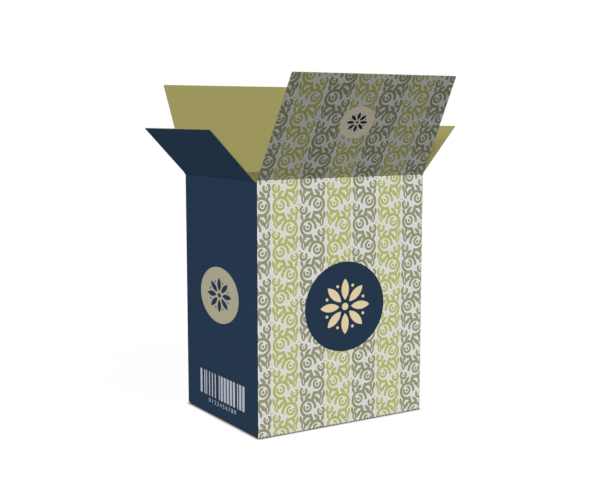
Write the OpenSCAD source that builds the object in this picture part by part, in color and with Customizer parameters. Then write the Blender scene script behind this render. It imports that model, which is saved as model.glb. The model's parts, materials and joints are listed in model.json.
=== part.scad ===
// Seal end carton in printed paperboard: one folded and glued sheet whose
// four top flaps stand open on their creases.
// Millimetres, +Z up, front panel towards -Y. The origin is the centre of the
// carton's underside.

/* [Carton] */
// Width of the front and back panels, over the outside
body_w = 119; // [80:1:180]
// Depth of the side panels, over the outside
body_d = 92; // [75:1:130]
// Height from the underside to the front flap's crease
body_h = 150; // [80:1:260]

/* [Board] */
// Thickness of the paperboard
board_t = 0.45; // [0.35:0.05:0.7]
// Radius inside a finished fold
fold_inner_r = 0.2; // [0.1:0.05:0.5]

/* [Front and back flaps] */
// Length of a front or back flap, from its crease to its free edge
major_len = 67.8; // [50:0.2:72]
// Setback of each end of the front flap at its crease
front_root_inset = 0.2; // [0.1:0.05:0.6]
// Setback of each flap end at the free edge
major_end_inset = 3; // [1.5:0.5:8]

/* [Side flaps] */
// Length of a side flap, from its crease to its free edge
minor_len = 41; // [20:0.5:54]
// Setback of each side of a side flap where its corner relief ends
minor_relief_w = 2.1; // [1.6:0.1:3]
// Height of the corner relief, along the flap
minor_relief_h = 3.2; // [2:0.1:6]
// Setback of each side of a side flap at its free edge
minor_end_inset = 2.4; // [1.6:0.1:8]

/* [Opening angles from upright] */
// Front flap, outwards
front_angle = 29.2; // [0:0.1:120]
// Back flap, outwards
back_angle = 33; // [0:0.1:120]
// Left flap, outwards
left_angle = 43.6; // [0:0.1:120]
// Right flap, outwards
right_angle = 41.5; // [0:0.1:120]

/* [Glued seam] */
// Width of the glue tab inside the back panel
tab_w = 14; // [8:1:25]
// Distance from the tab's ends to the lowest crease and to the floor of the carton
tab_setback = 3; // [2:0.5:8]
// How much further the tab's free edge is cut back at each end
tab_taper = 4; // [0:0.5:10]
// Distance of the back panel's cut edge from the tab's fold
seam_setback = 0.25; // [0.1:0.05:1]

/* [Clearances] */
// Gap between two flaps when the carton is closed
ply_gap = 0.1; // [0.05:0.05:0.3]
// Gap at a crease, below the hinge line on the panel
crease_gap = 0.05; // [0.02:0.01:0.1]
// Gap at a crease, above the hinge line on the flap
root_gap = 0.1; // [0.05:0.01:0.2]
// Gap between a side flap and the corner folds beside it
corner_gap = 0.1; // [0.05:0.05:0.4]

/* [Hidden] */
$fn = 48;

// Outer radius of a fold
fold_r = fold_inner_r + board_t;
// Heights of the creases: the side flaps close first, then the back one,
// then the front one over it
front_crease = body_h;
back_crease = front_crease - board_t - ply_gap;
side_crease = back_crease - board_t - ply_gap;
// Underside of each panel: the bottom flaps are glued ply on ply, and the
// front one is outermost
front_foot = 0;
back_foot = front_foot + board_t;
side_foot = back_foot + board_t;
// Floor of the carton inside, on the glued side flaps
floor_z = side_foot + board_t;
// How far a corner fold stays below a closed flap's outer face
corner_drop = board_t + ply_gap;
// A length that passes right through the board
through = 4 * board_t;

pale_print = "#d9d8d0";
navy_print = "#26374b";
olive_side = "#9b965e";

// Places children on one side of the carton. There x runs along the panel,
// y = 0 is its outer face and +y points into the carton.
module on_side(turn, reach) {
    rotate([0, 0, turn])
        translate([0, -reach, 0])
            children();
}

module on_front() { on_side(0, body_d / 2) children(); }
module on_back() { on_side(180, body_d / 2) children(); }
module on_left() { on_side(-90, body_w / 2) children(); }
module on_right() { on_side(90, body_w / 2) children(); }

// Cross-section of a folded corner: a quarter ring of board between the
// outer faces x = 0 and y = 0
module fold_profile() {
    translate([fold_r, fold_r])
        intersection() {
            difference() {
                circle(r = fold_r);
                circle(r = fold_inner_r);
            }
            translate([-fold_r, -fold_r])
                square(fold_r);
        }
}

// Cross-section of a panel: the fold to its bottom flap, the wall and a
// mitred top that leaves room for the flap to close
module panel_profile(foot, crease) {
    wall_top = crease - crease_gap;
    translate([0, foot])
        fold_profile();
    polygon([
        [0, foot + fold_r],
        [board_t, foot + fold_r],
        [board_t, wall_top - board_t],
        [0, wall_top]
    ]);
}

// A panel from x0 to x1 along its side
module panel(foot, crease, x0, x1) {
    translate([x0, 0, 0])
        rotate([90, 0, 90])
            linear_extrude(x1 - x0)
                panel_profile(foot, crease);
}

// Half outline of a front or back flap, from the crease outwards
function major_side(root_inset) = [
    [body_w / 2 - root_inset, 0],
    [body_w / 2 - major_end_inset, major_len]
];

// Half outline of a side flap, with its relief beside the crease
function minor_side() = [
    [body_d / 2 - fold_r - corner_gap, 0],
    [body_d / 2 - minor_relief_w, minor_relief_h],
    [body_d / 2 - minor_end_inset, minor_len]
];

// The same half outline on the other side, in reverse order
function mirrored(side) = [
    for (i = [len(side) - 1 : -1 : 0]) [-side[i][0], side[i][1]]
];

// A flat flap of board, its outline drawn with the crease along x
module flap_sheet(side) {
    linear_extrude(board_t)
        polygon(concat(side, mirrored(side)));
}

// A bottom flap, folded in and glued, from the end of its fold
module bottom_flap(foot, side) {
    reach = side[len(side) - 1][1];
    translate([0, 0, foot])
        intersection() {
            flap_sheet(side);
            translate([-side[0][0], fold_r, -board_t])
                cube([2 * side[0][0], reach, 3 * board_t]);
        }
}

// A top flap about its crease, opened outwards from upright and with a
// mitred root
module top_flap(crease, opening, side) {
    translate([0, 0, crease])
        rotate([opening, 0, 0])
            difference() {
                translate([0, board_t, 0])
                    rotate([90, 0, 0])
                        flap_sheet(side);
                translate([-side[0][0] - through, 0, 0])
                    rotate([90, 0, 90])
                        linear_extrude(2 * (side[0][0] + through))
                            polygon([
                                [-through, -through],
                                [through, -through],
                                [through, root_gap + through],
                                [-through, root_gap - through]
                            ]);
            }
}

// An upright corner fold between two panels, with its corner at x, y
module corner_fold(x, y, turn, foot, top) {
    translate([x, y, foot])
        rotate([0, 0, turn])
            linear_extrude(top - foot)
                fold_profile();
}

module front_and_back_panels() {
    end = body_w / 2 - fold_r;
    on_front() panel(front_foot, front_crease, -end, end);
    on_back() panel(back_foot, back_crease, seam_setback - end, end);
    on_front() bottom_flap(front_foot, major_side(fold_r + corner_gap));
    on_back() bottom_flap(back_foot, major_side(fold_r + seam_setback));
}

module side_panels() {
    end = body_d / 2 - fold_r;
    on_left() panel(side_foot, side_crease, -end, end);
    on_right() panel(side_foot, side_crease, -end, end - board_t);
    on_left() bottom_flap(side_foot, minor_side());
    on_right() bottom_flap(side_foot, minor_side());
}

module corner_folds() {
    x = body_w / 2;
    y = body_d / 2;
    corner_fold(-x, -y, 0, back_foot, front_crease - corner_drop);
    corner_fold(x, -y, 90, back_foot, front_crease - corner_drop);
    corner_fold(-x, y, -90, side_foot, back_crease - corner_drop);
    corner_fold(x, y - board_t, 180, side_foot, side_crease - corner_drop);
}

// The glue tab, folded from the right panel and glued inside the back one
module glue_tab() {
    low = floor_z + tab_setback;
    high = side_crease - tab_setback;
    right = body_w / 2 - fold_r;
    translate([right, body_d / 2 - board_t, 0])
        rotate([90, 0, 0])
            linear_extrude(board_t)
                polygon([
                    [0, low],
                    [0, high],
                    [-tab_w, high - tab_taper],
                    [-tab_w, low + tab_taper]
                ]);
}

module carton_body() {
    union() {
        color(pale_print) front_and_back_panels();
        color(navy_print) side_panels();
        color(navy_print) corner_folds();
        color(olive_side) glue_tab();
    }
}

module front_flap() {
    color(pale_print)
        on_front() top_flap(front_crease, front_angle, major_side(front_root_inset));
}

module back_flap() {
    color(pale_print)
        on_back() top_flap(back_crease, back_angle, major_side(fold_r + seam_setback));
}

module left_flap() {
    color(navy_print)
        on_left() top_flap(side_crease, left_angle, minor_side());
}

module right_flap() {
    color(navy_print)
        on_right() top_flap(side_crease, right_angle, minor_side());
}

carton_body();
front_flap();
back_flap();
left_flap();
right_flap();
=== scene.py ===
import json
import math
from collections import namedtuple

import bmesh
import bpy
from bpy.props import FloatProperty, FloatVectorProperty, IntProperty, PointerProperty, StringProperty
from mathutils import Matrix, Vector


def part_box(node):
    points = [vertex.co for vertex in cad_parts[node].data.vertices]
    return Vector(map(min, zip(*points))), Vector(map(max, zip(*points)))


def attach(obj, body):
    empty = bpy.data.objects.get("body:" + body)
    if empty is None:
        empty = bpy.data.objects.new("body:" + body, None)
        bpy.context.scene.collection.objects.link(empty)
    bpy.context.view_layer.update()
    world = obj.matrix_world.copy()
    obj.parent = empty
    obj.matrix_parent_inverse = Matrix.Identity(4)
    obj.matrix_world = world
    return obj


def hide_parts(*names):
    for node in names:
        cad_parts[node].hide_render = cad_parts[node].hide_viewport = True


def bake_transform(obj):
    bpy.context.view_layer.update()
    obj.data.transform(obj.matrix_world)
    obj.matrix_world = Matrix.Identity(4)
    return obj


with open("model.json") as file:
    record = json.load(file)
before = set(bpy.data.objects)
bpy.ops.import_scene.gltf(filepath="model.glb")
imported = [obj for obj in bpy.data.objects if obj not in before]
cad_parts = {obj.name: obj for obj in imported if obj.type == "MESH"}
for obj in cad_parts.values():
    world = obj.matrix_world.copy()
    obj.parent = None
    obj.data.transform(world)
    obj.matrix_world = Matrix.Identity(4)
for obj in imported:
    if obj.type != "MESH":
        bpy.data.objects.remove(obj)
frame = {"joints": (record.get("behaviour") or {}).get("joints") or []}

bl_info = {
    "name": "Seal end carton",
    "version": (1, 0, 0),
    "blender": (4, 5, 0),
    "location": "3D View > Sidebar > Carton",
    "description": "Folds a printed carton with open top flaps round its frame, and lights it",
    "category": "Object",
}

MM = 0.001
RIGHT_ANGLE = math.radians(90)
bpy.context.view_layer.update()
BODY_LOW, BODY_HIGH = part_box("carton_body")
WALLS = ("front", "back", "left", "right")
CREASES = {wall: joint for wall in WALLS for joint in frame["joints"] if joint["name"] == wall + "_crease"}
CREASE_Z = {wall: joint["pos_m"][2] for wall, joint in CREASES.items()}
# A flap is upright when it is a right angle short of its closed limit
OPENING = {wall: math.radians(joint["range_deg"][1]) - RIGHT_ANGLE for wall, joint in CREASES.items()}
BOARD = 0.45 * MM
# Two surfaces closer than this are cut as one
CUT_TOLERANCE = 0.0005 * MM
BLANK_UV = "blank"

# A rectangle of the flat blank, seen from outside: x runs from the front
# panel's middle to the right, and z is the height on the standing carton
Patch = namedtuple("Patch", "left right low high")
# A corner between two walls on the blank, and the side of it that folds back
Corner = namedtuple("Corner", "line side")


def flap_length(wall):
    """Length of a top flap from its crease, out of its solid's height at its opening angle."""
    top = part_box(wall + "_flap")[1][2]
    angle = OPENING[wall]
    return (top - CREASE_Z[wall] - BOARD * math.sin(angle)) / math.cos(angle)


def from_srgb(red, green, blue):
    """Linear colour of an 8-bit sRGB one."""
    def linear(value):
        share = value / 255
        if share <= 0.04045:
            return share / 12.92
        return ((share + 0.055) / 1.055) ** 2.4
    return (linear(red), linear(green), linear(blue))


def length_property(name, description, default):
    return FloatProperty(
        name=name, description=description, default=default, min=0, unit="LENGTH", precision=5
    )


def angle_property(name, description, degrees):
    return FloatProperty(
        name=name, description=description, default=math.radians(degrees), unit="ROTATION"
    )


def count_property(name, description, default):
    return IntProperty(name=name, description=description, default=default, min=2)


def place_property(name, description, default):
    return FloatVectorProperty(name=name, description=description, default=default, size=2)


def number_property(name, description, default):
    return FloatProperty(name=name, description=description, default=default)


def colour_property(name, description, default):
    return FloatVectorProperty(
        name=name, description=description, default=default, size=3, min=0, max=1, subtype="COLOR"
    )


class CartonSizes(bpy.types.PropertyGroup):
    """Sizes of the carton's board"""

    width: length_property("Width", "Width over the outside of the front panel", BODY_HIGH[0] - BODY_LOW[0])
    depth: length_property("Depth", "Depth over the outside of the side panels", BODY_HIGH[1] - BODY_LOW[1])
    board: length_property("Board", "Thickness of the paperboard", BOARD)
    ply_gap: length_property("Ply gap", "Hair gap that keeps two glued plies apart", 0.02 * MM)
    fold: length_property("Fold radius", "Radius over the outside of a fold", 0.65 * MM)
    crease: length_property("Crease", "Half width of the score that a top flap bends in", 0.65 * MM)
    major: length_property("Front flap", "Length of the front and back flaps", flap_length("front"))
    minor: length_property("Side flap", "Length of the side flaps", flap_length("left"))
    front_root: length_property("Front root", "Setback of the front flap's ends at its crease", 0.2 * MM)
    back_root: length_property("Back root", "Setback of the back flap's ends at its crease", 0.9 * MM)
    major_end: length_property("Front end", "Setback of a front or back flap's ends at its free edge", 3 * MM)
    minor_root: length_property("Side root", "Setback of a side flap's ends at its crease", 0.75 * MM)
    relief_width: length_property("Relief width", "Setback of a side flap past its corner relief", 2.1 * MM)
    relief_height: length_property("Relief height", "Height of a side flap's corner relief", 3.2 * MM)
    minor_end: length_property("Side end", "Setback of a side flap's ends at its free edge", 2.4 * MM)
    seam: length_property("Seam", "Setback of the back panel's cut edge from the tab's fold", 0.25 * MM)
    tab: length_property("Glue tab", "Width of the glue tab", 14 * MM)
    tab_setback: length_property("Tab setback", "Distance of the tab from the creases", 3 * MM)
    tab_taper: length_property("Tab taper", "How much each end of the tab is cut back", 4 * MM)
    fold_steps: count_property("Fold steps", "Even number of flats round a fold", 6)
    crease_steps: count_property("Crease steps", "Flats across a flap's crease", 8)


class CartonInks(bpy.types.PropertyGroup):
    """Colours of the print and of the bare board"""

    ground: colour_property("Ground", "Pale ground of the patterned print", from_srgb(213, 215, 215))
    outline: colour_property("Outline", "Fine line round each motif", from_srgb(228, 230, 222))
    warm: colour_property("Warm olive", "Ink of every second column of the vine", from_srgb(177, 177, 112))
    cool: colour_property("Grey olive", "Ink of the other columns", from_srgb(146, 147, 117))
    navy: colour_property("Navy", "Navy of the side panels and of the front disc", from_srgb(38, 55, 75))
    cream: colour_property("Cream", "Rosette on the navy disc", from_srgb(222, 205, 165))
    oval: colour_property("Oval", "Oval on the left panel", from_srgb(165, 160, 138))
    badge: colour_property("Badge", "Disc on the front flap", from_srgb(235, 227, 199))
    bars: colour_property("Bars", "Bars and digits of the code", from_srgb(174, 179, 190))
    inside: colour_property("Inside", "Plain olive inside of the board", from_srgb(129, 124, 77))
    # Foot is painted shade: the cut edges of the two lowest plies are coloured dark where the walls would
    # shade them.
    foot: colour_property("Foot", "Cut edges that the carton stands on, dulled", from_srgb(44, 55, 66))
    core: colour_property("Core", "Bare cut edge of the board", from_srgb(128, 123, 80))


class CartonPrint(bpy.types.PropertyGroup):
    """Places and sizes of the print on the blank, in millimetres from the front panel's left corner"""

    column: number_property("Column", "Width of a column of the vine", 18.6)
    repeat: number_property("Repeat", "Height over which the vine repeats", 27.0)
    line: number_property("Line", "Width of the line round a motif", 0.35)
    disc_place: place_property("Disc place", "Centre of the navy disc on the front panel", (60.6, 72.4))
    disc_size: place_property("Disc size", "Width and height of the navy disc", (57.2, 54.6))
    oval_place: place_property("Oval place", "Centre of the oval on the left panel", (-47.0, 77.9))
    oval_size: place_property("Oval size", "Width and height of the oval", (49.0, 34.5))
    badge_place: place_property("Badge place", "Centre of the disc on the front flap", (55.7, 187.2))
    badge_size: place_property("Badge size", "Width and height of the disc on the front flap", (23.4, 20.9))
    bars_left: number_property("Bars left", "Left end of the bar code", -73.7)
    bars_right: number_property("Bars right", "Right end of the bar code", -16.2)
    bars_low: number_property("Bars low", "Lower end of the bars", 12.1)
    bars_high: number_property("Bars high", "Upper end of the bars", 27.5)
    bar: number_property("Bar", "Width of the narrowest bar", 1.307)
    bar_seed: number_property("Bar seed", "Picks the random row of bars", 53)
    digits: StringProperty(name="Digits", description="Plain digits under the bars", default="0123456789")
    digit_size: number_property("Digit size", "Type size of the digits", 3.8)
    digit_spacing: number_property("Digit spacing", "Spacing of the digits", 1.95)
    digit_width: number_property("Digit width", "Width of a digit against the typeface's own", 1.4)
    digits_place: place_property("Digits place", "Middle of the row of digits", (-44.6, 9.0))


class CartonStudio(bpy.types.PropertyGroup):
    """Camera, lamps and floor"""

    eye: FloatVectorProperty(
        name="Eye", description="Place of the camera", default=(-0.3493, -0.5540, 0.1854), unit="LENGTH"
    )
    gaze: FloatVectorProperty(
        name="Gaze", description="Direction that the camera looks in", default=(0.5267, 0.8405, -0.1267)
    )
    lens: FloatProperty(name="Lens", description="Focal length in millimetres", default=62.39, unit="CAMERA")
    key: number_property("Key", "Strength of the lamp high in front", 4.24)
    key_softness: angle_property("Key softness", "Angle that the key lamp covers", 10)
    key_height: angle_property("Key height", "Angle of the key above the floor", 56)
    fill: number_property("Fill", "Strength of the low lamp at the left", 2.38)
    fill_softness: angle_property("Fill softness", "Angle that the fill lamp covers", 4)
    fill_height: angle_property("Fill height", "Angle of the fill above the floor", 3)
    back: number_property("Back", "Strength of the low lamp behind the right corner", 2.0)
    back_softness: angle_property("Back softness", "Angle that the back lamp covers", 30)
    back_side: FloatVectorProperty(
        name="Back side", description="Direction that the back lamp stands in", default=(0.62, 0.74, 0.26)
    )
    top: number_property("Top", "Strength of the lamp overhead, which reaches into the carton", 0.4)
    top_softness: angle_property("Top softness", "Angle that the lamp overhead covers", 40)
    sky: number_property("Sky", "Strength of the light from all round", 0.2)
    floor_size: length_property("Floor size", "Half width of the floor", 4.0)
    floor_glow: number_property("Floor glow", "Share of plain white in the floor as the camera sees it", 0.97)
    floor_bounce: number_property("Floor bounce", "Share of the light that the floor throws back", 0.156)
    # Contact sets the reach of a painted contact shadow in the floor's glow.
    contact: length_property("Contact", "Reach of the dark line where the carton meets the floor", 2.4 * MM)


class Layout:
    """Where the panels, folds and creases lie on the flat blank"""

    def __init__(self, sizes):
        half = sizes.width / 2
        self.sizes = sizes
        self.plane = -sizes.depth / 2
        self.middle = {
            "front": 0,
            "left": -half - sizes.depth / 2,
            "back": -2 * half - sizes.depth,
            "right": half + sizes.depth / 2,
        }
        self.foot = {"front": 0, "back": sizes.board, "left": 2 * sizes.board, "right": 2 * sizes.board}
        self.corners = {
            "back": Corner(-half - sizes.depth, -1),
            "left": Corner(-half, -1),
            "tab": Corner(half + sizes.depth - sizes.board, 1),
            "right": Corner(half, 1),
        }
        self.turns = {"front": (), "left": ("left",), "back": ("back", "left"), "right": ("right",)}
        seam_edge = self.corners["back"].line - sizes.width + sizes.fold + sizes.seam
        self.columns = {
            "front": self.column("front", -half, half),
            "left": self.column("left", self.corners["back"].line, -half),
            "back": self.column("back", seam_edge - sizes.fold, self.corners["back"].line),
            "right": self.column("right", half, self.corners["tab"].line),
        }

    def column(self, wall, left, right):
        """A wall between its corner folds, with its bottom flap below it."""
        reach = self.flap_reach(wall)
        fold = self.sizes.fold
        return Patch(left + fold, right - fold, self.foot[wall] - reach, self.wall_top(wall))

    def flap_reach(self, wall):
        return self.sizes.major if wall in ("front", "back") else self.sizes.minor

    def wall_top(self, wall):
        """Where a wall hands over to its flap's crease."""
        return CREASE_Z[wall] - self.sizes.crease

    def corner_patch(self, corner, low_wall, high_wall):
        """The strip of a corner fold, from one wall's foot to another's top."""
        line = self.corners[corner].line
        fold = self.sizes.fold
        return Patch(line - fold, line + fold, self.foot[low_wall], self.wall_top(high_wall))

    def corner_patches(self):
        return {
            "left": self.corner_patch("left", "back", "front"),
            "right": self.corner_patch("right", "back", "front"),
            "back": self.corner_patch("back", "left", "back"),
            "tab": self.corner_patch("tab", "left", "right"),
        }

    def tab_patch(self):
        sizes = self.sizes
        root = self.corners["tab"].line + sizes.fold
        low = self.foot["right"] + sizes.board + sizes.tab_setback
        return Patch(root, root + sizes.tab, low, CREASE_Z["right"] - sizes.tab_setback)

    def outline(self, wall, root_setback):
        """Half outline of a flap: points of distance from its crease and half width."""
        sizes = self.sizes
        if wall in ("front", "back"):
            half = sizes.width / 2
            return [(0, half - root_setback), (sizes.major, half - sizes.major_end)]
        half = sizes.depth / 2
        return [
            (0, half - root_setback),
            (sizes.relief_height, half - sizes.relief_width),
            (sizes.minor, half - sizes.minor_end),
        ]

    def root_setback(self, wall):
        sizes = self.sizes
        setbacks = {"front": sizes.front_root, "back": sizes.back_root}
        return setbacks.get(wall, sizes.minor_root)


def inside_patch(patch, point):
    return patch.left < point.x < patch.right and patch.low < point.z < patch.high


def steps_across(middle, half_width, count):
    """Evenly spaced lines across a fold, its two sides left out."""
    return [middle + half_width * (2 * step / count - 1) for step in range(1, count)]


def flat_sheet(patches, plane, upright_lines=(), level_lines=()):
    """Outside face of a flat blank standing in the front panel's plane, cut to its patches."""
    left = min(patch.left for patch in patches)
    right = max(patch.right for patch in patches)
    low = min(patch.low for patch in patches)
    high = max(patch.high for patch in patches)
    bm = bmesh.new()
    centre = Matrix.Translation(((left + right) / 2, plane, (low + high) / 2))
    stretch = Matrix.Diagonal((right - left, high - low, 1, 1))
    stand = Matrix.Rotation(RIGHT_ANGLE, 4, "X")
    bmesh.ops.create_grid(bm, x_segments=1, y_segments=1, size=0.5, matrix=centre @ stand @ stretch)
    for line in {edge for patch in patches for edge in (patch.left, patch.right)} | set(upright_lines):
        cut(bm, (line, 0, 0), (1, 0, 0))
    for line in {edge for patch in patches for edge in (patch.low, patch.high)} | set(level_lines):
        cut(bm, (0, 0, line), (0, 0, 1))
    waste = [
        face for face in bm.faces
        if not any(inside_patch(patch, face.calc_center_median()) for patch in patches)
    ]
    bmesh.ops.delete(bm, geom=waste, context="FACES")
    return bm


def cut(bm, point, normal):
    geometry = bm.verts[:] + bm.edges[:] + bm.faces[:]
    bmesh.ops.bisect_plane(bm, geom=geometry, dist=CUT_TOLERANCE, plane_co=point, plane_no=normal)


def lay_print(bm, sizes):
    """Gives the flat sheet its print coordinates, in millimetres from the front panel's left corner."""
    layer = bm.loops.layers.uv.new(BLANK_UV)
    for face in bm.faces:
        for loop in face.loops:
            place = loop.vert.co
            loop[layer].uv = ((place.x + sizes.width / 2) / MM, place.z / MM)


def width_at(outline, reach):
    """Half width of a flap at a distance from its crease."""
    if reach <= outline[0][0]:
        return outline[0][1]
    for (near, near_width), (far, far_width) in zip(outline, outline[1:]):
        if reach <= far + CUT_TOLERANCE:
            return near_width + (far_width - near_width) * (reach - near) / (far - near)
    return outline[-1][1]


def trim_ends(verts, middle, outline, reach_of):
    """Moves the sides of a rectangular flap in to its outline."""
    for vert in verts:
        half = width_at(outline, reach_of(vert))
        vert.co.x = middle + math.copysign(half, vert.co.x - middle)


def verts_in(bm, patch):
    """Corners of the faces that lie in a patch of the flat sheet."""
    faces = [face for face in bm.faces if inside_patch(patch, face.calc_center_median())]
    return {vert for face in faces for vert in face.verts}


def fold_back(verts, edge, beyond, inward, radius):
    """Folds what lies beyond an edge a right angle inwards, round the fold's outer radius."""
    centre = edge + (inward - beyond) * radius
    for vert in verts:
        reach = (vert.co - edge).dot(beyond)
        depth = (vert.co - edge).dot(inward)
        if reach <= -radius:
            continue
        turn = RIGHT_ANGLE * min((reach + radius) / (2 * radius), 1)
        past = max(reach - radius, 0)
        rest = vert.co - edge - beyond * reach - inward * depth
        outwards = beyond * math.sin(turn) - inward * math.cos(turn)
        onwards = beyond * math.cos(turn) + inward * math.sin(turn)
        vert.co = centre + rest + outwards * (radius - depth) + onwards * past


def turn_corners(layout, verts, corners):
    """Wraps the flat sheet round the carton's corners, the outermost first."""
    for name in corners:
        corner = layout.corners[name]
        edge = Vector((corner.line, layout.plane, 0))
        fold_back(verts, edge, Vector((corner.side, 0, 0)), Vector((0, 1, 0)), layout.sizes.fold)


def lean_out(layout, verts, wall):
    """Bends a flap outwards about its crease, over the width of the score."""
    sizes = layout.sizes
    pivot = Vector((0, layout.plane, CREASE_Z[wall]))
    for vert in verts:
        share = (vert.co.z - pivot.z + sizes.crease) / (2 * sizes.crease)
        share = min(max(share, 0), 1)
        angle = OPENING[wall] * share * share * (3 - 2 * share)
        vert.co = pivot + Matrix.Rotation(angle, 3, "X") @ (vert.co - pivot)


def board_object(name, bm, sizes, outsides):
    """Thickens an outside face inwards to closed board: print outside, olive inside, bare cut edges."""
    mesh = bpy.data.meshes.new(name)
    bm.to_mesh(mesh)
    bm.free()
    face_of_board = bpy.data.objects.new(name + "_face", mesh)
    bpy.context.collection.objects.link(face_of_board)
    count = len(outsides)
    for material in outsides + [olive_inside()] * count + [cut_edge()] * count:
        mesh.materials.append(material)
    thicken = face_of_board.modifiers.new("board", "SOLIDIFY")
    thicken.thickness = sizes.board - sizes.ply_gap
    thicken.offset = -1
    thicken.use_even_offset = True
    thicken.material_offset = count
    thicken.material_offset_rim = 2 * count
    evaluated = face_of_board.evaluated_get(bpy.context.evaluated_depsgraph_get())
    board = bpy.data.meshes.new_from_object(evaluated)
    bpy.data.objects.remove(face_of_board)
    board.name = name
    piece = bpy.data.objects.new(name, board)
    bpy.context.collection.objects.link(piece)
    return piece


class Field:
    """A number that shader nodes work out at each point: arithmetic on it adds Math nodes"""

    def __init__(self, socket):
        self.socket = socket

    def math(self, operation, *others, clamp=False):
        tree = self.socket.id_data
        node = tree.nodes.new("ShaderNodeMath")
        node.operation = operation
        node.use_clamp = clamp
        for socket, value in zip(node.inputs, (self,) + others):
            plug(value, socket)
        return Field(node.outputs[0])

    def __add__(self, other):
        return self.math("ADD", other)

    def __sub__(self, other):
        return self.math("SUBTRACT", other)

    def __mul__(self, other):
        return self.math("MULTIPLY", other)

    def __truediv__(self, other):
        return self.math("DIVIDE", other)

    def __abs__(self):
        return self.math("ABSOLUTE")


def plug(value, socket):
    """Links a field or a socket to an input, or sets the input to a plain value."""
    if isinstance(value, Field):
        value = value.socket
    if isinstance(value, bpy.types.NodeSocket):
        socket.id_data.links.new(value, socket)
    else:
        socket.default_value = value


def least(*fields):
    result = fields[0]
    for field in fields[1:]:
        result = result.math("MINIMUM", field)
    return result


def most(first, second):
    return first.math("MAXIMUM", second)


def modulo(field, period):
    return field.math("FLOORED_MODULO", period)


def distance(x, y):
    return (x * x + y * y).math("SQRT")


def covered(field, softness=0.06):
    """1 inside a shape and 0 outside, out of the distance from its rim, with a hair of blur."""
    return field.math("MULTIPLY_ADD", -1 / softness, 0.5, clamp=True)


def disc(x, y, place, radius):
    return distance(x - place[0], y - place[1]) - radius


def leaf(x, y, place, degrees, half_length, half_width):
    """Distance from a leaf, the lens that two discs share, its tip turned from upright."""
    turn = math.radians(degrees)
    dx = x - place[0]
    dy = y - place[1]
    across = dx * math.cos(turn) - dy * math.sin(turn)
    along = dx * math.sin(turn) + dy * math.cos(turn)
    reach = (half_length ** 2 - half_width ** 2) / (2 * half_width)
    return distance(abs(across) + reach, along) - (reach + half_width)


def curl(x, y, place, radius, half_width, degrees, opening):
    """Distance from an open ring with round ends."""
    turn = math.radians(degrees)
    gap = math.radians(opening)
    dx = x - place[0]
    dy = y - place[1]
    towards = dx * math.cos(turn) + dy * math.sin(turn)
    aside = abs(dy * math.cos(turn) - dx * math.sin(turn))
    ring = abs(distance(towards, aside) - radius)
    end = disc(towards, aside, (radius * math.cos(gap), radius * math.sin(gap)), 0)
    in_gap = (towards * math.sin(gap) - aside * math.cos(gap)).math("GREATER_THAN", 0)
    return ring + in_gap * (end - ring) - half_width


# Parts of one step of the vine, in millimetres from the step's middle. The
# next step is the same turned over from left to right, so what grows into it
# stands in the lists twice.
# Open rings: centre, radius, half width, direction and half angle of the gap
CURLS = [
    ((2.9, 0.0), 4.9, 0.95, 215, 34),
    ((3.4, 0.4), 2.35, 0.78, 60, 46),
    ((-6.2, -3.0), 2.05, 0.85, 75, 46),
]
# Leaves: centre, turn, half length and half width
LEAVES = [
    ((-6.3, 3.4), -4, 3.2, 1.65),
    ((-3.4, 4.4), 38, 2.9, 1.2),
    ((-8.1, 7.3), -6, 2.5, 1.0),
    ((8.1, -6.2), 6, 2.5, 1.0),
    ((-5.5, 7.9), 24, 2.4, 1.08),
    ((5.5, -5.6), -24, 2.4, 1.08),
    ((0.6, -7.0), 16, 3.4, 1.25),
    ((-0.6, 6.5), -16, 3.4, 1.25),
    ((-3.2, -6.2), 52, 2.8, 1.12),
    ((3.2, 7.3), -52, 2.8, 1.12),
    ((-7.4, -7.3), -20, 2.1, 1.02),
    ((7.4, 6.2), 20, 2.1, 1.02),
]
# Dots: centre and radius
DOTS = [
    ((3.4, 0.4), 0.95),
    ((-6.2, -3.0), 0.65),
    ((-8.55, 0.2), 0.5),
]
# Pale rib of the broadest leaf
RIB = ((-6.3, 3.2), -4, 1.9, 0.3)

# The rosette: its number of petals, and its parts as shares of its radius
PETALS = 8
PETAL_AWAY = 0.62
PETAL_HALF_LENGTH = 0.38
PETAL_HALF_WIDTH = 0.15
DOT_AWAY = 0.8
DOT_RADIUS = 0.055
EYE_RADIUS = 0.13
# Its share of the badge that it stands on, and the blur of a badge's rim in millimetres
ROSETTE_SHARE = 0.62
BADGE_BLUR = 0.12

# Of the random cells of the bar code, the share that stays bare. The last
# cell of each run also does, so that no bar is wider than two cells
BARE_SHARE = 0.3
BAR_RUN = 3

# Grain of printed board: scales per millimetre of the blank, and how much
# each grain changes the ink's tone and the roughness
FIBRE_STRETCH = (0.9, 3.2, 1)
FIBRE_SCALE = 1.6
MOTTLE_SCALE = 0.35
FLECK_SCALE = 6.0
FIBRE_TONE = 0.10
MOTTLE_TONE = 0.06
FLECK_TONE = 0.05
FIBRE_ROUGHNESS = 0.18
MOTTLE_ROUGHNESS = 0.12
GRAIN_STRENGTH = 0.35
PRINT_ROUGHNESS = 0.52
PRINT_RELIEF = 0.01 * MM
INSIDE_ROUGHNESS = 0.7
INSIDE_RELIEF = 0.02 * MM

# Rubbing at the folds: reach and blur in millimetres, scale and share of its
# flecks, and how much of the bare board they let through
RUB_REACH = 0.25
RUB_BLUR = 0.7
RUB_SCALE = 2.4
RUB_LEVEL = 0.52
RUB_STRENGTH = 0.1

# Cut edges: scales of the fibres and the layers per metre, the tone of the
# darker layers and the shine
EDGE_FIBRE_SCALE = 4000
EDGE_LAYER_SCALE = 900
EDGE_SHADE = 0.72
EDGE_SHINE = 0.15
EDGE_RELIEF = 0.03 * MM

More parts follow.
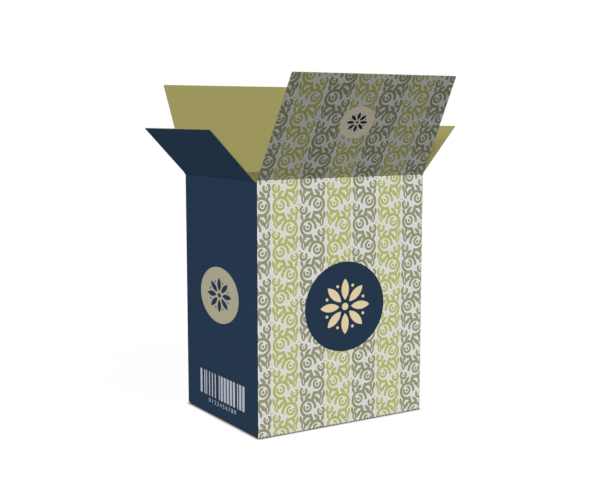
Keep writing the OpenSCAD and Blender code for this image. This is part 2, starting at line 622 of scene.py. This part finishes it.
# The digits: thickness of the ink's film, flats of a curve, scale of the
# speckle per metre and tone of the thinner ink
FILM = 0.01 * MM
DIGIT_FLATS = 4
SPECKLE_SCALE = 5000
THIN_INK = 0.85

FLOOR_WHITE = 0.85
FLOOR_ROUGHNESS = 0.9


def vine(x, y):
    """Distance from the curls, leaves and dots of one step of the vine."""
    curls = [curl(x, y, *entry) for entry in CURLS]
    leaves = [leaf(x, y, *entry) for entry in LEAVES]
    dots = [disc(x, y, *entry) for entry in DOTS]
    return most(least(*curls, *leaves, *dots), leaf(x, y, *RIB) * -1)


def rosette(x, y, radius):
    """Distance from petals round a small eye, with a dot between each two."""
    sector = math.radians(360 / PETALS)
    away = distance(x, y) / radius
    angle = modulo(y.math("ARCTAN2", x) + sector / 2, sector) - sector / 2
    along = away * angle.math("COSINE")
    aside = away * angle.math("SINE")
    petal = leaf(aside, along, (0, PETAL_AWAY), 0, PETAL_HALF_LENGTH, PETAL_HALF_WIDTH)
    between = modulo(angle, sector) - sector / 2
    dot = disc(away * between.math("COSINE"), away * between.math("SINE"), (DOT_AWAY, 0), DOT_RADIUS)
    eye = away - EYE_RADIUS
    return least(petal, dot, eye) * radius


def blank_place(tree):
    """Place on the unfolded blank, in millimetres."""
    uv_map = tree.nodes.new("ShaderNodeUVMap")
    uv_map.uv_map = BLANK_UV
    split = tree.nodes.new("ShaderNodeSeparateXYZ")
    plug(uv_map.outputs["UV"], split.inputs["Vector"])
    return Field(split.outputs["X"]), Field(split.outputs["Y"]), uv_map.outputs["UV"]


def printed(under, ink, cover):
    """One ink over what lies under it."""
    tree = cover.socket.id_data
    mix = tree.nodes.new("ShaderNodeMix")
    mix.data_type = "RGBA"
    colours = [socket for socket in mix.inputs if socket.type == "RGBA"]
    plug(cover, mix.inputs[0])
    for colour, socket in zip((under, ink), colours):
        plug(opaque(colour), socket)
    return next(socket for socket in mix.outputs if socket.type == "RGBA")


def opaque(colour):
    """A colour property with full cover, or the socket that it came from."""
    if isinstance(colour, bpy.types.NodeSocket):
        return colour
    return (*colour, 1)


def noise(place, scale, detail=2, roughness=0.5):
    tree = place.id_data
    node = tree.nodes.new("ShaderNodeTexNoise")
    node.inputs["Scale"].default_value = scale
    node.inputs["Detail"].default_value = detail
    node.inputs["Roughness"].default_value = roughness
    plug(place, node.inputs["Vector"])
    return Field(node.outputs["Fac"])


def stretched(place, factors):
    """The same place with its axes scaled, for a grain that runs one way."""
    tree = place.id_data
    node = tree.nodes.new("ShaderNodeMapping")
    node.inputs["Scale"].default_value = factors
    plug(place, node.inputs["Vector"])
    return node.outputs["Vector"]


def new_material(name):
    material = bpy.data.materials.new(name)
    material.use_nodes = True
    return material, material.node_tree


def finish(tree, colour, place, scuff, roughness, relief):
    """Coated board: mottled ink, fibres along the grain and a surface that is not quite even."""
    shader = tree.nodes["Principled BSDF"]
    fibres = noise(stretched(place, FIBRE_STRETCH), FIBRE_SCALE, detail=4, roughness=0.6)
    mottle = noise(place, MOTTLE_SCALE, detail=3)
    fleck = noise(place, FLECK_SCALE, detail=2)
    tone = (fibres - 0.5) * FIBRE_TONE + (mottle - 0.5) * MOTTLE_TONE + (fleck - 0.5) * FLECK_TONE
    value = tree.nodes.new("ShaderNodeHueSaturation")
    plug(tone + 1, value.inputs["Value"])
    plug(opaque(colour), value.inputs["Color"])
    plug(printed(value.outputs["Color"], scuff[0], scuff[1]), shader.inputs["Base Color"])
    unevenness = (fibres - 0.5) * FIBRE_ROUGHNESS + (mottle - 0.5) * MOTTLE_ROUGHNESS
    plug(unevenness + roughness, shader.inputs["Roughness"])
    shader.inputs["Specular IOR Level"].default_value = 0
    bump = tree.nodes.new("ShaderNodeBump")
    bump.inputs["Strength"].default_value = GRAIN_STRENGTH
    bump.inputs["Distance"].default_value = relief
    plug(fibres + fleck * 0.5, bump.inputs["Height"])
    plug(bump.outputs["Normal"], shader.inputs["Normal"])


def rubbed_creases(u, v, place, wall):
    """Where a fold has rubbed the ink thin, in flecks close to the fold's line."""
    sizes = bpy.context.scene.carton_sizes
    lines = (0, sizes.width, -sizes.depth, sizes.width + sizes.depth)
    upright = least(*[abs(u - line / MM) for line in lines])
    level = least(abs(v - CREASE_Z[wall] / MM), abs(v))
    near = covered(least(upright, level) - RUB_REACH, softness=RUB_BLUR)
    flecks = noise(place, RUB_SCALE, detail=4, roughness=0.7) * -1 + RUB_LEVEL
    return near * covered(flecks, softness=0.16) * RUB_STRENGTH


def patterned_print():
    """Pale board with columns of an olive vine, the navy disc and the flap's badge."""
    known = bpy.data.materials.get("patterned_print")
    if known:
        return known
    inks = bpy.context.scene.carton_inks
    layout = bpy.context.scene.carton_print
    material, tree = new_material("patterned_print")
    u, v, place = blank_place(tree)
    column = (u / layout.column).math("ROUND")
    odd_column = modulo(column, 2)
    step = (v / (layout.repeat / 2)).math("ROUND")
    odd_step = modulo(step, 2)
    turned = (odd_column * -2 + 1) * (odd_step * -2 + 1)
    x = (u - column * layout.column) * turned
    y = v - step * (layout.repeat / 2)
    shape = vine(x, y)
    colour = printed(inks.ground, inks.outline, covered(shape - layout.line))
    ink = printed(inks.cool, inks.warm, odd_column)
    colour = printed(colour, ink, covered(shape))
    colour = badge(colour, u, v, layout.disc_place, layout.disc_size, inks.navy, inks.cream)
    colour = badge(colour, u, v, layout.badge_place, layout.badge_size, inks.badge, inks.navy)
    scuff = (inks.core, rubbed_creases(u, v, place, "front"))
    finish(tree, colour, place, scuff, PRINT_ROUGHNESS, PRINT_RELIEF)
    return material


def badge(colour, u, v, place, size, ground, ink):
    """A round or oval badge with a rosette, over the print."""
    x = (u - place[0]) / (size[0] / 2)
    y = (v - place[1]) / (size[1] / 2)
    softness = BADGE_BLUR / size[1]
    colour = printed(colour, ground, covered(distance(x, y) - 1, softness))
    return printed(colour, ink, covered(rosette(x, y, ROSETTE_SHARE), softness))


def navy_print():
    """Plain navy with the left panel's oval badge and bar code."""
    known = bpy.data.materials.get("navy_print")
    if known:
        return known
    inks = bpy.context.scene.carton_inks
    layout = bpy.context.scene.carton_print
    material, tree = new_material("navy_print")
    u, v, place = blank_place(tree)
    colour = badge(inks.navy, u, v, layout.oval_place, layout.oval_size, inks.oval, inks.navy)
    cell = ((u - layout.bars_left) / layout.bar).math("FLOOR")
    chance = tree.nodes.new("ShaderNodeTexWhiteNoise")
    chance.noise_dimensions = "1D"
    plug(cell + layout.bar_seed, chance.inputs["W"])
    inked = Field(chance.outputs["Value"]).math("GREATER_THAN", BARE_SHARE)
    bars = inked * modulo(cell, BAR_RUN).math("LESS_THAN", BAR_RUN - 1.5)
    middle = (layout.bars_left + layout.bars_right) / 2
    sides = abs(u - middle) - (layout.bars_right - layout.bars_left) / 2
    ends = abs(v - (layout.bars_low + layout.bars_high) / 2) - (layout.bars_high - layout.bars_low) / 2
    colour = printed(colour, inks.bars, covered(most(sides, ends)) * bars)
    scuff = (inks.core, rubbed_creases(u, v, place, "left"))
    finish(tree, colour, place, scuff, PRINT_ROUGHNESS, PRINT_RELIEF)
    return material


def olive_inside():
    """Uncoated olive inside of the board."""
    known = bpy.data.materials.get("olive_inside")
    if known:
        return known
    inks = bpy.context.scene.carton_inks
    material, tree = new_material("olive_inside")
    u, v, place = blank_place(tree)
    scuff = (inks.core, rubbed_creases(u, v, place, "back"))
    finish(tree, inks.inside, place, scuff, INSIDE_ROUGHNESS, INSIDE_RELIEF)
    return material


def cut_edge():
    """Bare cut edge of the board, with its layers of fibre, painted dark on the two lowest plies as shade
    under the walls.
    """
    known = bpy.data.materials.get("cut_edge")
    if known:
        return known
    inks = bpy.context.scene.carton_inks
    material, tree = new_material("cut_edge")
    place = tree.nodes.new("ShaderNodeTexCoord").outputs["Object"]
    shader = tree.nodes["Principled BSDF"]
    fibre = noise(place, EDGE_FIBRE_SCALE, detail=3)
    layers = noise(place, EDGE_LAYER_SCALE, detail=2)
    darker = tuple(channel * EDGE_SHADE for channel in inks.core)
    colour = printed(inks.core, darker, covered(fibre * 0.6 + layers * 0.4 - 0.5, softness=0.5))
    height = tree.nodes.new("ShaderNodeSeparateXYZ")
    plug(place, height.inputs["Vector"])
    sizes = bpy.context.scene.carton_sizes
    # Painted shade: up to two plies above the floor, the cut edge takes the dark foot colour in place of the
    # shade under the walls.
    above_foot = Field(height.outputs["Z"]) / sizes.board - 2
    colour = printed(colour, inks.foot, covered(above_foot, softness=0.1))
    plug(colour, shader.inputs["Base Color"])
    plug(fibre * 0.2 + 0.75, shader.inputs["Roughness"])
    shader.inputs["Specular IOR Level"].default_value = EDGE_SHINE
    bump = tree.nodes.new("ShaderNodeBump")
    bump.inputs["Strength"].default_value = 0.5
    bump.inputs["Distance"].default_value = EDGE_RELIEF
    plug(fibre, bump.inputs["Height"])
    plug(bump.outputs["Normal"], shader.inputs["Normal"])
    return material


def pale_ink():
    """Ink of the digits, slightly uneven."""
    inks = bpy.context.scene.carton_inks
    material, tree = new_material("pale_ink")
    place = tree.nodes.new("ShaderNodeTexCoord").outputs["Object"]
    shader = tree.nodes["Principled BSDF"]
    speckle = noise(place, SPECKLE_SCALE, detail=2)
    thinner = tuple(channel * THIN_INK for channel in inks.bars)
    plug(printed(inks.bars, thinner, covered(speckle - 0.5, softness=0.4)), shader.inputs["Base Color"])
    plug(speckle * 0.15 + 0.5, shader.inputs["Roughness"])
    shader.inputs["Specular IOR Level"].default_value = 0
    return material


class CARTON_OT_fold_walls(bpy.types.Operator):
    """Folds the walls, the glued seam and the glued bottom out of one sheet"""

    bl_idname = "carton.fold_walls"
    bl_label = "Fold Walls"
    bl_options = {"REGISTER", "UNDO"}

    def execute(self, context):
        sizes = context.scene.carton_sizes
        layout = Layout(sizes)
        folds = layout.corner_patches()
        tab = layout.tab_patch()
        steps = sizes.fold_steps
        upright = [
            line for corner in layout.corners.values()
            for line in steps_across(corner.line, sizes.fold, steps)
        ]
        level = [
            line for foot in layout.foot.values()
            for line in [foot - sizes.fold, foot + sizes.fold] + steps_across(foot, sizes.fold, steps)
        ]
        level += [foot - sizes.relief_height for foot in layout.foot.values()]
        patches = list(layout.columns.values()) + list(folds.values()) + [tab]
        bm = flat_sheet(patches, layout.plane, upright, level)
        lay_print(bm, sizes)
        self.choose_prints(bm, layout)
        self.slit_corners(bm, layout, folds)
        for wall in WALLS:
            self.fold_bottom_flap(bm, layout, wall)
        self.taper_tab(bm, tab, sizes)
        turn_corners(layout, bm.verts, ("back", "left", "tab", "right"))
        piece = board_object("carton_walls", bm, sizes, [patterned_print(), navy_print()])
        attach(piece, "body")
        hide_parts("carton_body")
        return {"FINISHED"}

    def choose_prints(self, bm, layout):
        """The front and back panels carry the pattern, the rest of the outside is navy."""
        half = layout.sizes.width / 2
        back_corner = layout.corners["back"].line
        for face in bm.faces:
            x = face.calc_center_median().x
            face.material_index = 0 if abs(x) < half or x < back_corner else 1

    def slit_corners(self, bm, layout, folds):
        """Cuts the board between a corner fold and the bottom folds beside it."""
        slits = []
        for wall, column in layout.columns.items():
            tangent = layout.foot[wall] + layout.sizes.fold
            for edge in bm.edges:
                ends = [vert.co for vert in edge.verts]
                beside = any(
                    all(abs(end.x - side) < CUT_TOLERANCE for end in ends)
                    for side in (column.left, column.right)
                )
                below_fold = max(end.z for end in ends) < tangent + CUT_TOLERANCE
                if beside and below_fold and len(edge.link_faces) == 2:
                    slits.append(edge)
        bmesh.ops.split_edges(bm, edges=slits)

    def fold_bottom_flap(self, bm, layout, wall):
        """Trims a bottom flap to its outline and folds it in, under or over the others."""
        sizes = layout.sizes
        foot = layout.foot[wall]
        column = layout.columns[wall]
        below = column._replace(high=foot + sizes.fold)
        verts = verts_in(bm, below)
        flap = [vert for vert in verts if vert.co.z < foot - sizes.fold - CUT_TOLERANCE]
        roots = [(0, (column.right - column.left) / 2)] + layout.outline(wall, 0)[1:]
        trim_ends(flap, layout.middle[wall], roots, lambda vert: foot - vert.co.z)
        edge = Vector((0, layout.plane, foot))
        fold_back(verts, edge, Vector((0, 0, -1)), Vector((0, 1, 0)), sizes.fold)

    def taper_tab(self, bm, tab, sizes):
        """Cuts the ends of the glue tab back towards its free edge."""
        for vert in verts_in(bm, tab):
            share = (vert.co.x - tab.left) / sizes.tab
            middle = (tab.low + tab.high) / 2
            half = (tab.high - tab.low) / 2
            vert.co.z = middle + (vert.co.z - middle) * (1 - share * sizes.tab_taper / half)


class CARTON_OT_open_flaps(bpy.types.Operator):
    """Makes the four top flaps, standing open on their creases"""

    bl_idname = "carton.open_flaps"
    bl_label = "Open Flaps"
    bl_options = {"REGISTER", "UNDO"}

    def execute(self, context):
        layout = Layout(context.scene.carton_sizes)
        for wall in WALLS:
            self.open_flap(layout, wall)
        return {"FINISHED"}

    def open_flap(self, layout, wall):
        sizes = layout.sizes
        crease = CREASE_Z[wall]
        middle = layout.middle[wall]
        outline = layout.outline(wall, layout.root_setback(wall))
        widest = outline[0][1]
        top = crease + layout.flap_reach(wall)
        patch = Patch(middle - widest, middle + widest, crease - sizes.crease, top)
        level = steps_across(crease, sizes.crease, sizes.crease_steps) + [crease + sizes.crease]
        level += [crease + reach for reach, width in outline[1:-1]]
        bm = flat_sheet([patch], layout.plane, level_lines=level)
        trim_ends(bm.verts, middle, outline, lambda vert: vert.co.z - crease)
        lay_print(bm, sizes)
        lean_out(layout, bm.verts, wall)
        turn_corners(layout, bm.verts, layout.turns[wall])
        patterned = wall in ("front", "back")
        outside = patterned_print() if patterned else navy_print()
        piece = board_object(wall + "_flap_board", bm, sizes, [outside])
        self.hinge(piece, layout, wall)
        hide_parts(wall + "_flap")

    def hinge(self, piece, layout, wall):
        """Bakes the flap's placement into its mesh; the crease's pivot, direction and end are worked out
        here, but nothing uses them.
        """
        pivot = Vector(CREASES[wall]["pos_m"])
        outward = Vector((pivot.x, pivot.y, 0)).normalized()
        angle = OPENING[wall]
        along = outward * math.sin(angle) + Vector((0, 0, math.cos(angle)))
        end = pivot + along * layout.sizes.crease
        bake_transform(piece)


class CARTON_OT_print_digits(bpy.types.Operator):
    """Prints the plain row of digits under the bars on the left panel"""

    bl_idname = "carton.print_digits"
    bl_label = "Print Digits"
    bl_options = {"REGISTER", "UNDO"}

    def execute(self, context):
        layout = context.scene.carton_print
        sizes = context.scene.carton_sizes
        curve = bpy.data.curves.new("code_digits", "FONT")
        curve.body = layout.digits
        curve.size = layout.digit_size * MM
        curve.space_character = layout.digit_spacing / layout.digit_width
        curve.align_x = "CENTER"
        curve.align_y = "CENTER"
        curve.extrude = FILM
        curve.resolution_u = DIGIT_FLATS
        text = bpy.data.objects.new("code_digits_text", curve)
        context.collection.objects.link(text)
        evaluated = text.evaluated_get(context.evaluated_depsgraph_get())
        mesh = bpy.data.meshes.new_from_object(evaluated)
        bpy.data.objects.remove(text)
        bm = bmesh.new()
        bm.from_mesh(mesh)
        bmesh.ops.remove_doubles(bm, verts=bm.verts, dist=FILM / 10)
        bmesh.ops.recalc_face_normals(bm, faces=bm.faces)
        across, up = layout.digits_place
        place = Vector((-sizes.width / 2 - FILM / 2, -sizes.depth / 2 - across * MM, up * MM))
        stand = Matrix.Rotation(-RIGHT_ANGLE, 4, "Z") @ Matrix.Rotation(RIGHT_ANGLE, 4, "X")
        widen = Matrix.Diagonal((layout.digit_width, 1, 1, 1))
        bmesh.ops.transform(bm, matrix=Matrix.Translation(place) @ stand @ widen, verts=bm.verts)
        bm.to_mesh(mesh)
        bm.free()
        mesh.materials.clear()
        mesh.materials.append(pale_ink())
        piece = bpy.data.objects.new("code_digits", mesh)
        context.collection.objects.link(piece)
        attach(piece, "body")
        return {"FINISHED"}


class CARTON_OT_set_studio(bpy.types.Operator):
    """Sets the camera, the lamps, the white surroundings and the floor"""

    bl_idname = "carton.set_studio"
    bl_label = "Set Studio"
    bl_options = {"REGISTER", "UNDO"}

    def execute(self, context):
        studio = context.scene.carton_studio
        context.scene.view_settings.view_transform = "Standard"
        self.place_camera(context, studio)
        high = studio.key_height
        low = studio.fill_height
        self.hang_lamp("key", (0, -math.cos(high), math.sin(high)), studio.key, studio.key_softness)
        self.hang_lamp("fill", (-math.cos(low), 0, math.sin(low)), studio.fill, studio.fill_softness)
        self.hang_lamp("back", studio.back_side, studio.back, studio.back_softness)
        self.hang_lamp("top", (0, 0, 1), studio.top, studio.top_softness)
        self.light_world(context, studio)
        self.lay_floor(context, studio)
        return {"FINISHED"}

    def place_camera(self, context, studio):
        camera = bpy.data.objects.new("camera", bpy.data.cameras.new("camera"))
        camera.data.lens = studio.lens
        camera.location = studio.eye
        camera.rotation_euler = Vector(studio.gaze).to_track_quat("-Z", "Y").to_euler()
        context.collection.objects.link(camera)
        context.scene.camera = camera

    def hang_lamp(self, name, direction, strength, softness):
        """A distant lamp that shines from a direction."""
        lamp = bpy.data.objects.new(name, bpy.data.lights.new(name, "SUN"))
        lamp.data.energy = strength
        lamp.data.angle = softness
        lamp.rotation_euler = Vector(direction).to_track_quat("Z", "Y").to_euler()
        bpy.context.collection.objects.link(lamp)

    def seen_directly(self, tree):
        """1 for what the camera sees straight, in a gloss or through glass."""
        path = tree.nodes.new("ShaderNodeLightPath")
        camera = Field(path.outputs["Is Camera Ray"])
        glossy = Field(path.outputs["Is Glossy Ray"])
        through = Field(path.outputs["Is Transmission Ray"])
        return most(most(camera, glossy), through)

    def light_world(self, context, studio):
        world = bpy.data.worlds.new("studio")
        world.use_nodes = True
        context.scene.world = world
        tree = world.node_tree
        background = tree.nodes["Background"]
        background.inputs["Color"].default_value = (1, 1, 1, 1)
        seen = self.seen_directly(tree)
        plug(seen * (1 - studio.sky) + studio.sky, background.inputs["Strength"])

    def lay_floor(self, context, studio):
        bm = bmesh.new()
        bmesh.ops.create_grid(bm, x_segments=1, y_segments=1, size=studio.floor_size)
        mesh = bpy.data.meshes.new("floor")
        bm.to_mesh(mesh)
        bm.free()
        material, tree = new_material("white_floor")
        shader = tree.nodes["Principled BSDF"]
        seen = self.seen_directly(tree)
        dim = (studio.floor_bounce,) * 3
        plug(printed(dim, (FLOOR_WHITE,) * 3, seen), shader.inputs["Base Color"])
        shader.inputs["Roughness"].default_value = FLOOR_ROUGHNESS
        shader.inputs["Specular IOR Level"].default_value = 0
        glow = tree.nodes.new("ShaderNodeEmission")
        # Painted contact shadow: the floor's glow dims with ambient occlusion where the carton stands on it.
        contact = tree.nodes.new("ShaderNodeAmbientOcclusion")
        contact.inputs["Distance"].default_value = studio.contact
        open_sky = Field(contact.outputs["AO"])
        plug(open_sky * open_sky, glow.inputs["Strength"])
        blend = tree.nodes.new("ShaderNodeMixShader")
        plug(seen * studio.floor_glow, blend.inputs["Fac"])
        plug(shader.outputs["BSDF"], blend.inputs[1])
        plug(glow.outputs["Emission"], blend.inputs[2])
        plug(blend.outputs["Shader"], tree.nodes["Material Output"].inputs["Surface"])
        mesh.materials.append(material)
        floor = bpy.data.objects.new("floor", mesh)
        context.collection.objects.link(floor)


class CARTON_PT_panel(bpy.types.Panel):
    """Carton tools in the 3D view's sidebar"""

    bl_label = "Seal End Carton"
    bl_space_type = "VIEW_3D"
    bl_region_type = "UI"
    bl_category = "Carton"

    def draw(self, context):
        for operator in OPERATORS:
            self.layout.operator(operator.bl_idname)
        for group in GROUPS:
            box = self.layout.box()
            box.label(text=group.__doc__)
            settings = getattr(context.scene, GROUPS[group])
            for name in group.__annotations__:
                box.prop(settings, name)


GROUPS = {
    CartonSizes: "carton_sizes",
    CartonInks: "carton_inks",
    CartonPrint: "carton_print",
    CartonStudio: "carton_studio",
}
OPERATORS = (
    CARTON_OT_fold_walls,
    CARTON_OT_open_flaps,
    CARTON_OT_print_digits,
    CARTON_OT_set_studio,
)
CLASSES = (*GROUPS, *OPERATORS, CARTON_PT_panel)


def register():
    for cls in CLASSES:
        bpy.utils.register_class(cls)
    for group, name in GROUPS.items():
        setattr(bpy.types.Scene, name, PointerProperty(type=group))


def unregister():
    for name in GROUPS.values():
        delattr(bpy.types.Scene, name)
    for cls in reversed(CLASSES):
        bpy.utils.unregister_class(cls)


def main():
    register()
    bpy.ops.carton.set_studio()
    bpy.ops.carton.fold_walls()
    bpy.ops.carton.open_flaps()
    bpy.ops.carton.print_digits()


if __name__ == "__main__":
    main()
